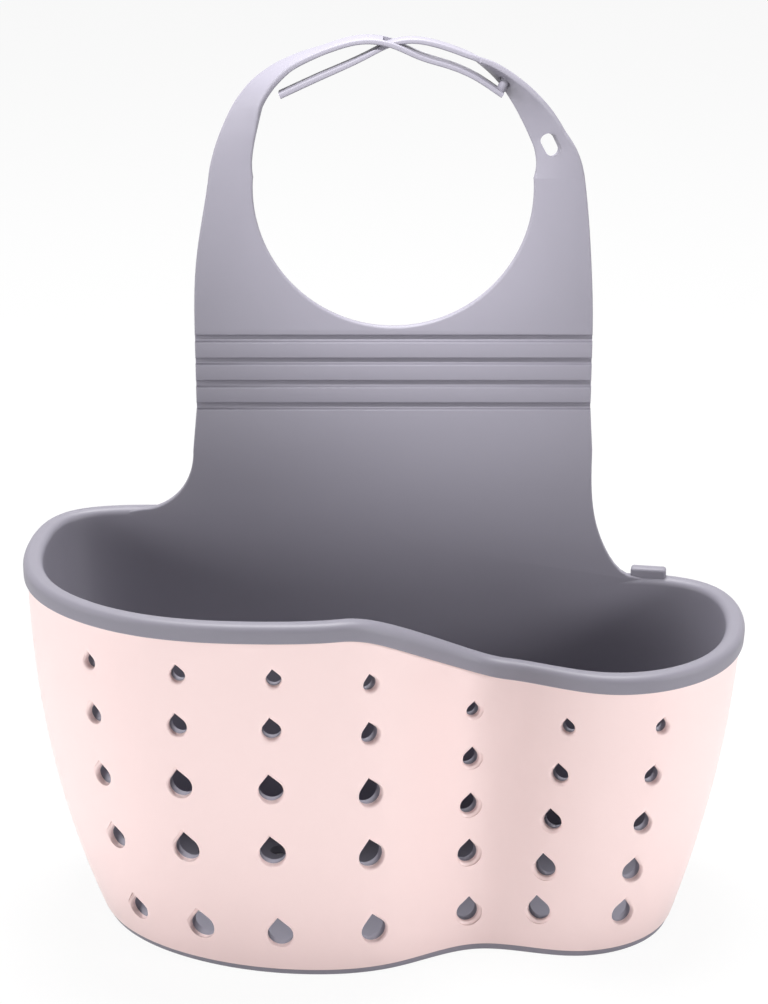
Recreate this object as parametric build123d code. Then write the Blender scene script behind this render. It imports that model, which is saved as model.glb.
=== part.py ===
from build123d import *
import os
from math import acos, cos, radians, sin

# Frame: +Z up, X across the caddy, the front towards -Y, origin under the middle of the tub on its foot.

# Tub outline, seen from above, at the rim and at the foot
rim_width = 186.6
rim_depth = 85.9
base_width = 154.0
base_depth = 82.4
high_rim = 97.3
low_rim = 77.4
step_left = -11.2
step_right = 30.1
bulge_power = 2.3
level_shares = (0.0, 0.07, 0.25, 0.5, 0.75, 1.03)

# Shares of width and depth, from the back left corner round the front to the back right corner
rim_shares = (
    (-0.338, 0.0), (-0.462, 0.062), (-0.499, 0.297), (-0.458, 0.708), (-0.334, 0.932),
    (-0.155, 1.0), (0.005, 0.919), (0.123, 0.708), (0.284, 0.821), (0.416, 0.746),
    (0.5, 0.364), (0.468, 0.092), (0.327, 0.0),
)
base_shares = (
    (-0.344, 0.0), (-0.442, 0.078), (-0.5, 0.345), (-0.442, 0.733), (-0.318, 0.915),
    (-0.149, 1.0), (0.013, 0.958), (0.149, 0.848), (0.318, 0.891), (0.429, 0.806),
    (0.5, 0.417), (0.455, 0.102), (0.331, 0.0),
)

# Walls
shell_wall = 1.6
wall_gap = 0.25
rubber_wall = 2.2
bead_overhang = 1.0
bead_height = 4.6
bead_round = 1.9
bead_gap = 0.1
foot_height = 1.5
foot_inset = 0.3
floor_thickness = 2.4

# Drain holes: seven columns of five drops, each row from the top down
high_drop_radii = (1.65, 2.15, 2.85, 3.05, 3.05)
low_drop_radii = (1.45, 1.9, 2.15, 2.45, 2.6)
column_radii = (
    low_drop_radii, high_drop_radii, high_drop_radii, high_drop_radii,
    low_drop_radii, low_drop_radii, low_drop_radii,
)
column_leans = (9.0, 9.0, 7.0, 7.0, -7.0, 9.0, -10.0)
column_top_shares = (0.281, 0.352, 0.419, 0.487, 0.58, 0.653, 0.721)
column_foot_shares = (0.28, 0.342, 0.408, 0.485, 0.571, 0.632, 0.701)
column_height_shares = (
    (0.845, 0.697, 0.52, 0.335, 0.115),
    (0.855, 0.713, 0.543, 0.356, 0.118),
    (0.852, 0.712, 0.543, 0.362, 0.118),
    (0.823, 0.684, 0.517, 0.34, 0.12),
    (0.657, 0.525, 0.395, 0.264, 0.104),
    (0.64, 0.505, 0.372, 0.24, 0.119),
    (0.643, 0.505, 0.37, 0.234, 0.112),
)
drop_tip_ratio = 1.45
drop_reach = 9.0

# Floor drains
drain_radius = 2.6
drain_pitch_x = 20.0
drain_pitch_y = 16.0
drain_columns = 6
drain_rows = 3
drain_middle_y = 7.0

# Back panel and its grooves
panel_left = -51.0
panel_right = 54.1
panel_left_low = -52.2
panel_right_low = 54.9
panel_bend_z = 114.0
flare_left = -66.0
flare_right = 68.0
flare_left_shares = (0.26, 0.32)
flare_right_shares = (0.34, 0.22)
first_groove_z = 126.4
groove_pitch = 6.2
groove_width = 1.6
groove_depth = 1.4
groove_count = 4
strip_round = 0.35

# Loop panel with the faucet opening
opening_x = 1.4
opening_z = 184.7
opening_radius = 36.4
arm_root_z = 188.0
loop_shoulder_z = 166.0
loop_shoulder_in = 0.9
arm_lean = 0.15
left_arm_outer = -46.4
right_arm_outer = 50.9

# Straps: stations along each band as X, Z, width, thickness and twist in degrees
left_band_stations = (
    (-40.6, 188.0, 11.6, 2.2, 0.0),
    (-40.1, 193.0, 10.3, 2.2, 0.0),
    (-38.85, 198.0, 9.3, 2.1, 4.0),
    (-37.1, 203.1, 8.3, 2.0, 14.0),
    (-34.7, 208.3, 7.4, 1.8, 39.0),
    (-30.6, 213.2, 7.8, 1.7, 63.0),
    (-25.2, 217.2, 8.1, 1.6, 80.0),
    (-16.6, 220.8, 8.2, 1.5, 90.0),
    (-6.5, 223.5, 8.2, 1.4, 90.0),
    (0.9, 222.6, 8.2, 1.4, 90.0),
    (8.0, 219.5, 7.4, 1.3, 90.0),
    (15.0, 217.3, 6.9, 1.3, 90.0),
    (22.5, 214.1, 6.5, 1.3, 90.0),
    (29.2, 209.7, 6.4, 1.3, 90.0),
)
right_band_stations = (
    (44.3, 188.0, 13.2, 2.2, 0.0),
    (43.65, 193.0, 11.2, 2.2, 7.0),
    (41.6, 198.0, 9.2, 2.1, 16.0),
    (38.75, 203.2, 8.9, 2.0, 29.0),
    (35.3, 208.1, 8.9, 1.8, 46.0),
    (31.3, 212.6, 9.1, 1.7, 62.0),
    (25.9, 216.9, 9.0, 1.6, 74.0),
    (19.5, 220.0, 9.0, 1.4, 90.0),
    (12.8, 222.3, 9.0, 1.4, 90.0),
    (6.5, 223.4, 9.0, 1.3, 90.0),
    (0.9, 222.6, 9.0, 1.3, 90.0),
    (-5.0, 219.8, 9.0, 1.3, 90.0),
    (-16.4, 214.6, 9.0, 1.6, 90.0),
    (-27.6, 209.5, 9.0, 1.7, 90.0),
)
band_sections = 22
eye_station = 9
band_corner_share = 0.3
tongue_width = 5.0
shoulder_x = 23.3
shoulder_z = 218.7
eye_length = 4.8
eye_width = 5.9
bend_length = 1.8
left_bend_x = 5.6
left_bend_z = 220.5
left_bend_slope = -24.0
right_bend_x = -3.4
right_bend_z = 220.5
right_bend_slope = 205.0

# Stud on the left tail, and the oblong holes of the right arm
stud_radius = 1.2
stud_length = 4.8
stud_x = 28.7
stud_z = 210.4
stud_slope = 66.0
stud_hole_play = 0.5
arm_hole_x = 41.6
arm_hole_z = 196.6
arm_hole_width = 3.6
arm_hole_length = 6.2
arm_hole_tilt = 27.0
arm_hole_twist = 20.0
upright = 90.0

# Small block on the back of the rim
tab_share = 0.97
tab_width = 9.6
tab_depth = 3.4
tab_height = 2.4
tab_round = 0.8

# Every cut runs this far past the faces that it passes
overrun = 30.0

back_y = rim_depth / 2
panel_back = back_y - shell_wall - wall_gap
panel_front = panel_back - rubber_wall
panel_middle = panel_back - rubber_wall / 2
bead_inset = (shell_wall + wall_gap + rubber_wall - bead_overhang) / 2
groove_step = groove_width / 2
first_strip_z = first_groove_z + groove_step
reach = rim_width
on_base = (Align.CENTER, Align.CENTER, Align.MIN)


def outline_points(z, inset):
    """Corner points of the tub's outline at one height, moved inwards by the inset."""
    blend = 1 - max(1 - z / high_rim, 0) ** bulge_power
    points = []
    for (rim_x, rim_y), (base_x, base_y) in zip(rim_shares, base_shares):
        low_x = base_x * base_width
        low_y = back_y - base_y * base_depth
        high_x = rim_x * rim_width
        high_y = back_y - rim_y * rim_depth
        points.append(Vector(low_x + (high_x - low_x) * blend, low_y + (high_y - low_y) * blend))
    if inset == 0:
        return points
    curve = outline_curve(points)
    moved = []
    for point in points:
        along = curve.tangent_at(curve.param_at_point(point))
        moved.append(point + Vector(-along.Y, along.X) * inset)
    return moved


def outline_curve(points):
    """The bowed part of the outline, which leaves and meets the straight back squarely."""
    return Spline(*points, tangents=[(-1, 0), (-1, 0)], tangent_scalars=[1, 1])


def tub_section(z, inset):
    """Face that fills the tub's outline at one height."""
    points = outline_points(z, inset)
    curve = outline_curve(points)
    edges = Curve() + [curve, Line(points[-1], points[0])]
    return Pos(0, 0, z) * make_face(edges)


def tub_body(inset):
    """Tapered solid inside the tub's outline, from the foot to above the rim."""
    return loft([tub_section(share * high_rim, inset) for share in level_shares])


def rim_line(drop):
    """Line of the rim seen from the front, with its step from the high to the low side."""
    high = high_rim - drop
    low = low_rim - drop
    step = Spline((step_left, high), (step_right, low), tangents=[(1, 0), (1, 0)])
    return Curve() + [Line((-reach, high), (step_left, high)), step, Line((step_right, low), (reach, low))]


def under_rim(drop, bottom):
    """Everything under the rim line and above the bottom."""
    high = high_rim - drop
    low = low_rim - drop
    sides = Polyline((-reach, high), (-reach, bottom), (reach, bottom), (reach, low))
    face = make_face(rim_line(drop) + [sides])
    return extrude(Plane.XZ * face, amount=reach, both=True)


def drop_face(radius):
    """Drain hole: a round foot with a pointed tip above it."""
    tip = radius * drop_tip_ratio
    turn = acos(radius / tip)
    left = (-radius * sin(turn), radius * cos(turn))
    right = (radius * sin(turn), radius * cos(turn))
    edges = Curve() + [
        ThreePointArc(right, (0, -radius), left),
        Line(left, (0, tip)),
        Line((0, tip), right),
    ]
    return make_face(edges)


def drain_drops():
    """Cutters of all the drain holes, each square to the wall that it passes."""
    cutters = []
    columns = zip(column_leans, column_radii, column_top_shares, column_foot_shares, column_height_shares)
    for lean, radii, top, foot, heights in columns:
        for row, (radius, height) in enumerate(zip(radii, heights)):
            along = top + (foot - top) * row / (len(radii) - 1)
            curve = outline_curve(outline_points(height * high_rim, 0))
            spot = curve.position_at(along)
            side = curve.tangent_at(along)
            middle = Vector(spot.X, spot.Y, height * high_rim)
            plane = Plane(middle, x_dir=side, z_dir=Vector(side.Y, -side.X)) * Rot(0, 0, lean)
            cutters.append(extrude(plane * drop_face(radius), amount=drop_reach, both=True))
    return cutters


def outer_shell(cutters):
    """Hard sleeve between the foot and the rim bead."""
    sleeve = tub_body(0) - tub_body(shell_wall)
    sleeve = sleeve & under_rim(bead_height + bead_gap, foot_height)
    return sleeve - cutters


def rim_bead(inner):
    """Rolled rim over the shell's upper edge."""
    bead = tub_body(-bead_overhang) - inner
    bead = bead & (under_rim(0, 0) - under_rim(bead_height, -overrun))
    tops = [edge for edge in bead.edges() if edge.center().Z > rim_height(edge.center().X) - bead_gap]
    return fillet(tops, bead_round)


def rim_height(x):
    """Height of the rim line at X, near enough to pick edges by."""
    share = min(max((x - step_left) / (step_right - step_left), 0), 1)
    return high_rim + (low_rim - high_rim) * share * share * (3 - share - share)


def lower_panel():
    """Part of the back panel under the first groove, with its flares into the rim."""
    top = first_groove_z - groove_step
    left_in = flare_left + (panel_left_low - flare_left) * (1 - flare_left_shares[0])
    left_up = high_rim + (panel_bend_z - high_rim) * flare_left_shares[1]
    right_in = flare_right + (panel_right_low - flare_right) * (1 - flare_right_shares[0])
    right_up = low_rim + (panel_bend_z - low_rim) * flare_right_shares[1]
    bottom = low_rim - bead_height
    edges = Curve() + [
        Line((flare_left, bottom), (flare_left, high_rim)),
        Spline(
            (flare_left, high_rim), (left_in, left_up), (panel_left_low, panel_bend_z),
            tangents=[(1, 0), (0, 1)],
        ),
        Line((panel_left_low, panel_bend_z), (panel_left, top)),
        Line((panel_left, top), (panel_right, top)),
        Line((panel_right, top), (panel_right_low, panel_bend_z)),
        Spline(
            (panel_right_low, panel_bend_z), (right_in, right_up), (flare_right, low_rim),
            tangents=[(0, -1), (1, 0)],
        ),
        Line((flare_right, low_rim), (flare_right, bottom)),
        Line((flare_right, bottom), (flare_left, bottom)),
    ]
    return slab(make_face(edges), panel_front, panel_back)


def slab(face, front, back):
    """Plate with a face drawn in X and Z, between two depths."""
    return extrude(Plane(origin=(0, back, 0), x_dir=(1, 0, 0), z_dir=(0, -1, 0)) * face, amount=back - front)


def floor_drains():
    """Round drains through the floor."""
    return [
        Pos(place.position.X, place.position.Y + drain_middle_y, 0) * Cylinder(drain_radius, overrun)
        for place in GridLocations(drain_pitch_x, drain_pitch_y, drain_columns, drain_rows)
    ]


def tub_liner(cutters):
    """Rubber tub with its rolled rim, foot, floor and lower back panel, moulded in one."""
    outer = tub_body(shell_wall + wall_gap)
    inner = tub_body(shell_wall + wall_gap + rubber_wall)
    walls = (outer - inner) & under_rim(bead_height, 0)
    floor = outer & Box(reach, reach, floor_thickness, align=on_base)
    foot = tub_body(foot_inset) & Box(reach, reach, foot_height, align=on_base)
    liner = walls + floor + foot + rim_bead(inner) + (lower_panel() - under_rim(bead_height, 0))
    return liner - cutters - floor_drains()


def across_panel(low, high):
    """Face as wide as the panel between two heights."""
    corners = (panel_left, low), (panel_right, low), (panel_right, high), (panel_left, high)
    return make_face(Polyline(*corners, close=True))


def flex_strip(number):
    """Strip of the panel between two grooves."""
    low = first_strip_z + number * groove_pitch
    high = low + groove_pitch - groove_width
    strip = slab(across_panel(low, high), panel_front, panel_back)
    return fillet(strip.edges().group_by(Axis.Y)[0].filter_by(Axis.X), strip_round)


def groove_web(number):
    """Thin rubber behind one groove, which bends as a living hinge."""
    low = first_groove_z - groove_step + number * groove_pitch
    high = low + groove_width
    return slab(across_panel(low, high), panel_front + groove_depth, panel_back)


def loop_panel():
    """Plate with the lower half of the faucet opening and the roots of both arms."""
    low = first_strip_z + (groove_count - 1) * groove_pitch
    right_shoulder = (panel_right - loop_shoulder_in, loop_shoulder_z)
    left_shoulder = (panel_left + loop_shoulder_in, loop_shoulder_z)
    right_root = (right_arm_outer, arm_root_z)
    left_root = (left_arm_outer, arm_root_z)
    edges = Curve() + [
        Line((panel_left, low), (panel_right, low)),
        Spline((panel_right, low), right_shoulder, right_root, tangents=[(0, 1), (-arm_lean, 1)]),
        Line(right_root, left_root),
        Spline(left_root, left_shoulder, (panel_left, low), tangents=[(-arm_lean, -1), (0, -1)]),
    ]
    face = make_face(edges) - Pos(opening_x, opening_z) * Circle(opening_radius)
    return slab(face, panel_front, panel_back)


def band(stations):
    """Strap lofted along its stations, turning from facing the front to lying edge on."""
    middle = [(x, z) for x, z, *_ in stations]
    path = Spline(*middle, tangents=[(0, 1), band_end(stations)], tangent_scalars=[1, 1])
    places = [path.param_at_point(Vector(x, z)) for x, z, *_ in stations]
    sections = []
    for number in range(band_sections):
        share = number / (band_sections - 1)
        spot = path.position_at(share)
        heading = path.tangent_at(share)
        along = Vector(heading.X, 0, heading.Y)
        across = along.cross(Vector(0, 1, 0))
        width, thickness, twist = measures_at(stations, places, share)
        wide = across * cos(radians(twist)) + Vector(0, 1, 0) * sin(radians(twist))
        plane = Plane(Vector(spot.X, panel_middle, spot.Y), x_dir=wide, z_dir=along)
        sections.append(plane * RectangleRounded(width, thickness, thickness * band_corner_share))
    return loft(sections)


def band_end(stations):
    """Direction in which a strap ends."""
    (before_x, before_z), (last_x, last_z) = stations[-2][:2], stations[-1][:2]
    return last_x - before_x, last_z - before_z


def measures_at(stations, places, share):
    """Width, thickness and twist of a strap between its two nearest stations."""
    after = next((number for number, place in enumerate(places) if place >= share), len(places) - 1)
    after = max(after, 1)
    part = (share - places[after - 1]) / (places[after] - places[after - 1])
    lows, highs = stations[after - 1][2:], stations[after][2:]
    return [low + (high - low) * part for low, high in zip(lows, highs)]


def cut_at(piece, x, z, slope, keep):
    """Part of a strap on one side of a plane square to it."""
    normal = Vector(cos(radians(slope)), 0, sin(radians(slope)))
    return split(piece, bisect_by=Plane(Vector(x, panel_middle, z), z_dir=normal), keep=keep)


def strap_pieces(whole, x, z, slope):
    """Strap, the short bend behind the eye and the tail, cut from one band."""
    half = bend_length / 2
    step_x = half * cos(radians(slope))
    step_z = half * sin(radians(slope))
    strap = cut_at(whole, x - step_x, z - step_z, slope, Keep.BOTTOM)
    rest = cut_at(whole, x - step_x, z - step_z, slope, Keep.TOP)
    bend = cut_at(rest, x + step_x, z + step_z, slope, Keep.BOTTOM)
    tail = cut_at(rest, x + step_x, z + step_z, slope, Keep.TOP)
    return strap, bend, tail


def stud_place():
    """Place and direction of the stud, which points away from the left tail."""
    direction = Vector(cos(radians(stud_slope)), 0, sin(radians(stud_slope)))
    return Plane(Vector(stud_x, panel_middle, stud_z), z_dir=direction)


def tail_stud(tail):
    """Peg that buttons the left tail to the right arm."""
    peg = stud_place() * Cylinder(stud_radius, stud_length, align=on_base)
    return (peg - tail).solids().sort_by(SortBy.VOLUME)[-1]


def stud_hole():
    """Hole of the right arm that takes the stud."""
    return stud_place() * Cylinder(stud_radius + stud_hole_play, overrun, align=on_base)


def arm_hole():
    """Free oblong hole lower down the right arm."""
    flat = Plane(Vector(arm_hole_x, panel_middle, arm_hole_z), x_dir=(1, 0, 0), z_dir=(0, -1, 0))
    turned = flat * Rot(0, 0, arm_hole_tilt) * Rot(0, arm_hole_twist, 0)
    slot = Rot(0, 0, upright) * SlotOverall(arm_hole_length, arm_hole_width)
    return turned * extrude(slot, amount=overrun, both=True)


def tongue_sides():
    """Cutters that narrow the right band to its tongue beyond the shoulder."""
    place = Plane(Vector(shoulder_x, panel_middle, shoulder_z), z_dir=(0, 1, 0), x_dir=(-1, 0, 0))
    block = Box(reach, reach, reach, align=(Align.MIN, Align.CENTER, Align.MIN))
    far = place * Pos(0, 0, tongue_width / 2) * block
    near = mirror(far, about=Plane.XZ.offset(-panel_middle))
    return [far, near]


def eye():
    """Slot of the left strap that the tongue is threaded through."""
    x, z = left_band_stations[eye_station][:2]
    before, after = left_band_stations[eye_station - 1], left_band_stations[eye_station + 1]
    along = Vector(after[0] - before[0], 0, after[1] - before[1])
    place = Plane(Vector(x, panel_middle, z), x_dir=along, z_dir=along.cross(Vector(0, 1, 0)))
    return place * Box(eye_length, eye_width, overrun)


def rim_tab(liner):
    """Small block that stands on the back of the rim, set along it."""
    curve = outline_curve(outline_points(low_rim, bead_inset))
    spot = curve @ tab_share
    place = Plane(Vector(spot.X, spot.Y, low_rim - bead_round), x_dir=curve % tab_share, z_dir=(0, 0, 1))
    block = Box(tab_width, tab_depth, tab_height + bead_round, align=on_base)
    block = fillet(block.edges().filter_by(Axis.Z) + block.edges().group_by(Axis.Z)[-1], tab_round)
    return place * block - liner


def parts():
    """Every piece by the name of its node."""
    cutters = drain_drops()
    liner = tub_liner(cutters)
    left_strap, left_bend, left_tail = strap_pieces(
        band(left_band_stations) - eye(), left_bend_x, left_bend_z, left_bend_slope
    )
    right_band = band(right_band_stations) - tongue_sides() - arm_hole() - stud_hole()
    right_strap, right_bend, right_tail = strap_pieces(
        right_band, right_bend_x, right_bend_z, right_bend_slope
    )
    pieces = {
        "outer_shell": outer_shell(cutters),
        "tub_liner": liner,
        "rim_tab": rim_tab(liner),
        "loop_panel": loop_panel(),
        "left_strap": left_strap,
        "left_tail_bend": left_bend,
        "left_tail": left_tail,
        "tail_stud": tail_stud(left_tail),
        "right_strap": right_strap,
        "right_tail_bend": right_bend,
        "right_tail": right_tail,
    }
    for number in range(groove_count):
        pieces[f"groove_web_{number + 1}"] = groove_web(number)
    for number in range(groove_count - 1):
        pieces[f"flex_strip_{number + 1}"] = flex_strip(number)
    return pieces


os.makedirs("parts", exist_ok=True)
for name, piece in parts().items():
    export_step(piece, f"parts/{name}.step")
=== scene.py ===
import math

import bmesh
import bpy
import numpy as np
from bpy.props import FloatProperty, FloatVectorProperty, IntProperty, PointerProperty
from mathutils import Matrix, Vector


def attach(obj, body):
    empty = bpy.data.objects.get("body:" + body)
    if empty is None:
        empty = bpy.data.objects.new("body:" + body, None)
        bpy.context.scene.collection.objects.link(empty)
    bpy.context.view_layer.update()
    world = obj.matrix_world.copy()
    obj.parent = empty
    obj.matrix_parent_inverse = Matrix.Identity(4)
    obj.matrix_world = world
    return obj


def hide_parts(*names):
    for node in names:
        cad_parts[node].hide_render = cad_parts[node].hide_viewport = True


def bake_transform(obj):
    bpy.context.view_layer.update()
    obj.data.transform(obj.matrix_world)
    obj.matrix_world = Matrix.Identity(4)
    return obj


bl_info = {
    "name": "Kitchen Sink Caddy",
    "version": (1, 0, 0),
    "blender": (4, 5, 0),
    "location": "3D View > Sidebar > Sink Caddy",
    "description": "Builds the moulded pieces of a kitchen sink caddy over its CAD frame",
    "category": "Object",
}

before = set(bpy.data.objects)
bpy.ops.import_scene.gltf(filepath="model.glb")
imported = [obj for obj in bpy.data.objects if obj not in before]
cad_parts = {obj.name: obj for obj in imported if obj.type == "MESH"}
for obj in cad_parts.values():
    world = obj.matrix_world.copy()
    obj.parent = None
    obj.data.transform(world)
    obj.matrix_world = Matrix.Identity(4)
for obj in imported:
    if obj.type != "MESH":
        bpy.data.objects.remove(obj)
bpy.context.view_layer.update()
MM = 0.001

# Tub outline in millimetres, as the solids have it
RIM_WIDTH, RIM_DEPTH = 186.6, 85.9
BASE_WIDTH, BASE_DEPTH = 154.0, 82.4
HIGH_RIM, LOW_RIM = 97.3, 77.4
STEP_LEFT, STEP_RIGHT = -11.2, 30.1
BULGE_POWER = 2.3
LEVEL_TOP = 1.03  # height to which the walls are tabled, as a share of the high rim
BACK_Y = RIM_DEPTH / 2
RIM_SHARES = (
    (-0.338, 0.0), (-0.462, 0.062), (-0.499, 0.297), (-0.458, 0.708), (-0.334, 0.932),
    (-0.155, 1.0), (0.005, 0.919), (0.123, 0.708), (0.284, 0.821),
    (0.416, 0.746), (0.5, 0.364), (0.468, 0.092), (0.327, 0.0),
)
BASE_SHARES = (
    (-0.344, 0.0), (-0.442, 0.078), (-0.5, 0.345), (-0.442, 0.733), (-0.318, 0.915),
    (-0.149, 1.0), (0.013, 0.958), (0.149, 0.848), (0.318, 0.891),
    (0.429, 0.806), (0.5, 0.417), (0.455, 0.102), (0.331, 0.0),
)
SHELL_WALL = 1.6
WALL_GAP = 0.25
RUBBER_WALL = 2.2
LINER_OUT = SHELL_WALL + WALL_GAP
LINER_IN = LINER_OUT + RUBBER_WALL
BEAD_OVERHANG = 1.0
BEAD_HEIGHT = 4.6
BEAD_LIP, BEAD_STEPS = 0.5, 8
SHELL_INTO_BEAD = 0.6  # the shell's edge ends inside the rolled rim
FOOT_HEIGHT = 1.5
FOOT_INSET = 0.3
FLOOR_THICKNESS = 2.4
WALL_FOOT_Z = FLOOR_THICKNESS * 0.5

# Drain holes: radius by row, lean, place along the wall at the top and foot, and heights
HIGH_DROPS = (1.65, 2.15, 2.85, 3.05, 3.05)
LOW_DROPS = (1.45, 1.9, 2.15, 2.45, 2.6)
DROP_COLUMNS = (
    (LOW_DROPS, 9.0, 0.281, 0.28, (0.845, 0.697, 0.52, 0.335, 0.115)),
    (HIGH_DROPS, 9.0, 0.352, 0.342, (0.855, 0.713, 0.543, 0.356, 0.118)),
    (HIGH_DROPS, 7.0, 0.419, 0.408, (0.852, 0.712, 0.543, 0.362, 0.118)),
    (HIGH_DROPS, 7.0, 0.487, 0.485, (0.823, 0.684, 0.517, 0.34, 0.12)),
    (LOW_DROPS, -7.0, 0.58, 0.571, (0.657, 0.525, 0.395, 0.264, 0.104)),
    (LOW_DROPS, 9.0, 0.653, 0.632, (0.64, 0.505, 0.372, 0.24, 0.119)),
    (LOW_DROPS, -10.0, 0.721, 0.701, (0.643, 0.505, 0.37, 0.234, 0.112)),
)
DROP_TIP, DROP_POINTS = 1.45, 22
DRAINS = [(x, y) for x in (-50, -30, -10, 10, 30, 50) for y in (-9, 7, 23)]
DRAIN_RADIUS, DRAIN_CUT = 2.6, 20
DRAIN_MIDDLE_Y = 7.0
DROP_GROW_SHELL, DROP_GROW_LINER = 0.25, 0.45
DROP_CUT_IN, DROP_CUT_OUT = -9.0, 3.0

# Rounded lip of a drop: place along the wall's normal and growth, as shares of the lip, and its mouth
LIP_SHARES = ((-1.0, 0.0), (-0.45, 0.16), (-0.12, 0.5))
LIP_MOUTH, LIP_MOUTH_SHARE, LIP_OUT_SHARE = 0.1, 1.05, 1.2

TAB_SHARE, TAB_WIDTH, TAB_DEPTH, TAB_HEIGHT, TAB_ROUND = 0.97, 9.6, 3.4, 2.4, 0.8

# Back panel, grooves and loop
PANEL_BACK = BACK_Y - LINER_OUT
PANEL_FRONT = PANEL_BACK - RUBBER_WALL
PANEL_MIDDLE = (PANEL_FRONT + PANEL_BACK) / 2
PANEL_LEFT, PANEL_RIGHT = -51.0, 54.1
PANEL_LEFT_LOW, PANEL_RIGHT_LOW = -52.2, 54.9
PANEL_BEND_Z = 114.0
FLARE_LEFT, FLARE_RIGHT = -66.0, 68.0
FLARE_LEFT_SHARES, FLARE_RIGHT_SHARES = (0.26, 0.32), (0.34, 0.22)
FLARE_RUN, FLARE_SINK = (7.0, 3.5), (2.2, 0.6)  # how the ends go on inside the rim: outwards and down
PANEL_PROUD = 0.03  # keeps the panel's front clear of the tub's inner wall
PANEL_SINK, PANEL_ROUND_SINK, PANEL_ROUND_FROM = 2.6, 2.4, 2  # under the rim line, and under the low rim
PANEL_ROUND_SHARE, STRIP_ROUND = 0.8, 0.5
FIRST_GROOVE_Z, GROOVE_PITCH, GROOVE_WIDTH, GROOVE_DEPTH = 126.4, 6.2, 1.6, 1.4
GROOVES = 4
WEB_HOLLOW, WEB_RISE, WEB_POINTS, WEB_SLICES = 0.15, 0.3, 13, 12
OPENING_X, OPENING_Z, OPENING_RADIUS = 1.4, 184.7, 36.4
ARM_ROOT_Z = 188.0
LOOP_SHOULDER_Z, LOOP_SHOULDER_IN = 166.0, 0.9
LEFT_ARM_OUTER, RIGHT_ARM_OUTER = -46.4, 50.9
ARM_HEADING_X, ARM_HEADING_Z = -0.148, 0.989
CHAIN = ("tub", "strip_1", "strip_2", "strip_3", "loop")

# Straps: X, Z, width, thickness and twist at each station
LEFT_STATIONS = (
    (-40.6, 188.0, 11.6, 2.2, 0.0), (-40.1, 193.0, 10.3, 2.2, 0.0), (-38.85, 198.0, 9.3, 2.1, 4.0),
    (-37.1, 203.1, 8.3, 2.0, 14.0), (-34.7, 208.3, 7.4, 1.8, 39.0), (-30.6, 213.2, 7.8, 1.7, 63.0),
    (-25.2, 217.2, 8.1, 1.6, 80.0), (-16.6, 220.8, 8.2, 1.5, 90.0), (-6.5, 223.5, 8.2, 1.4, 90.0),
    (0.9, 222.6, 8.2, 1.4, 90.0), (8.0, 219.5, 7.4, 1.3, 90.0), (15.0, 217.3, 6.9, 1.3, 90.0),
    (22.5, 214.1, 6.5, 1.3, 90.0), (29.2, 209.7, 6.4, 1.3, 90.0),
)
RIGHT_STATIONS = (
    (44.3, 188.0, 13.2, 2.2, 0.0), (43.65, 193.0, 11.2, 2.2, 7.0), (41.6, 198.0, 9.2, 2.1, 16.0),
    (38.75, 203.2, 8.9, 2.0, 29.0), (35.3, 208.1, 8.9, 1.8, 46.0), (31.3, 212.6, 9.1, 1.7, 62.0),
    (25.9, 216.9, 9.0, 1.6, 74.0), (19.5, 220.0, 9.0, 1.4, 90.0), (12.8, 222.3, 9.0, 1.4, 90.0),
    (6.5, 223.4, 9.0, 1.3, 90.0), (0.9, 222.6, 9.0, 1.3, 90.0), (-5.0, 219.8, 9.0, 1.3, 90.0),
    (-16.4, 214.6, 9.0, 1.6, 90.0), (-27.6, 209.5, 9.0, 1.7, 90.0),
)

# Details of the straps. A bend is given by X, Z and slope, and the stud and the free hole by X and Z
BAND_CORNER, BAND_CORNER_STEPS, BAND_RINGS = 0.3, 3, 110
TONGUE_WIDTH = 5.0
SHOULDER_X, SHOULDER_SHARE, SHOULDER_SAMPLES = 23.3, 0.0012, 2000
EYE_STATION, EYE_LENGTH, EYE_WIDTH, EYE_REACH = 9, 4.8, 5.9, 6
BEND_LENGTH = 1.8
LEFT_BEND = (5.6, 220.5, -24.0)
RIGHT_BEND = (-3.4, 220.5, 205.0)
STUD_PLACE, STUD_SLOPE, STUD_RADIUS, STUD_LENGTH, STUD_ROUND = (28.7, 210.4), 66.0, 1.2, 4.8, 0.45
STUD_PLAY, STUD_HOLE_LENGTH = 0.5, 14
ARM_HOLE_PLACE, ARM_HOLE_SIZE, ARM_HOLE_TILT, ARM_HOLE_TWIST = (41.6, 196.6), (3.6, 6.2), 27.0, 20.0
ARM_HOLE_REACH, ARM_HOLE_STEPS = 12, 12

# How finely the meshes are drawn
ROUND_SIDES = 32
SHARP_ANGLE, ROUND_SEGMENTS = 40.0, 4
WALL_LEVELS, BEAD_LEVELS, WALL_BACK_PLACES = 44, 24, 48
SHELL_OUTER_RINGS, SHELL_INNER_RINGS = 44, 12
TUB_OUTER_RINGS, TUB_INNER_RINGS = 16, 48
STEP_POINTS, SETTLE_ROUNDS = 60, 8
FLARE_POINTS, BOTTOM_POINTS, SIDE_POINTS, OPENING_POINTS = 18, 60, 24, 96
NEAR = 0.1  # places closer than this, in millimetres, count as one
WELD = 0.002  # points closer than this are joined
Y, Z = 1, 2  # axes of a point

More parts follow.
